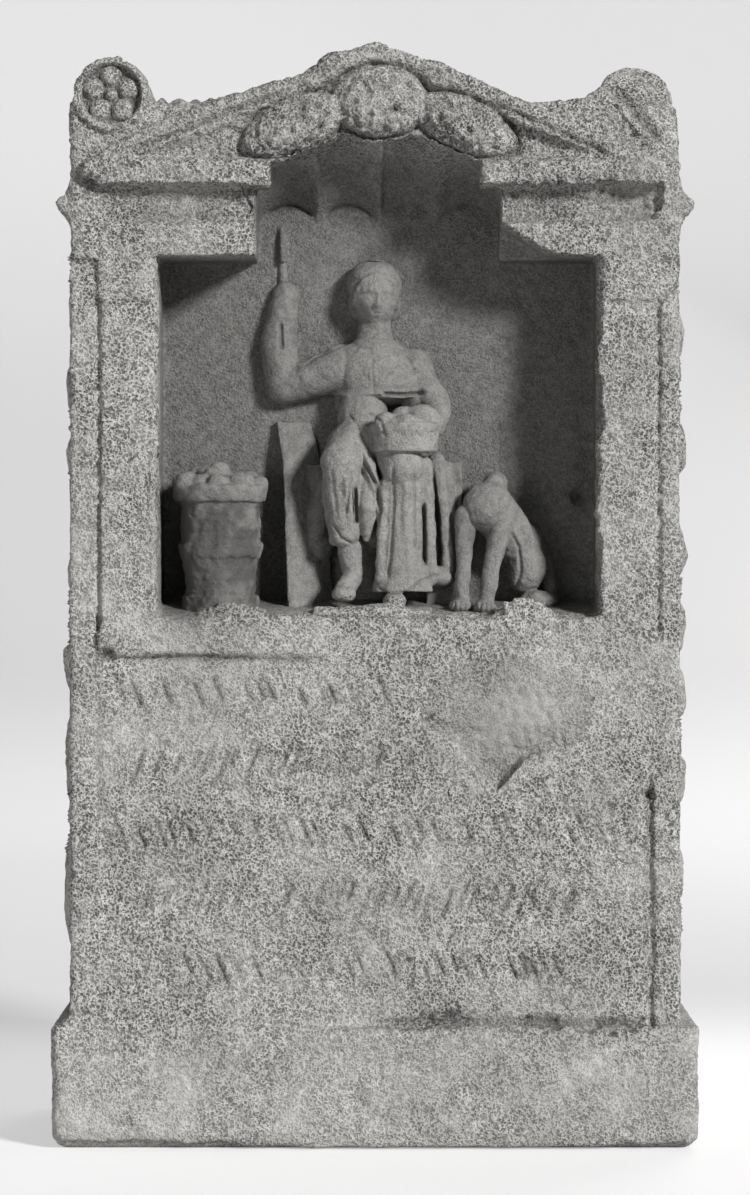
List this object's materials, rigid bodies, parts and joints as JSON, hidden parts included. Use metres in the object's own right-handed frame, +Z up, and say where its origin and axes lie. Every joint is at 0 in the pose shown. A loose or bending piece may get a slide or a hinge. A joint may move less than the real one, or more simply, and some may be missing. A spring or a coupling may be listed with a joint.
{
  "type": "votive altar",
  "caption": "Carved limestone votive altar: gabled niche with a seated goddess, fruit baskets and a dog, over an inscription panel and a plinth.",
  "frame": {"origin": "middle of the underside of the plinth", "axes": "+Z up, -Y towards the carved front, +X to the right seen from the front"},
  "size_m": [0.498, 0.251, 0.852],
  "materials": {
    "limestone": "worn, porous and matt"
  },
  "bodies": {
    "root": {"votive_altar": "limestone"}
  },
  "joints": []
}
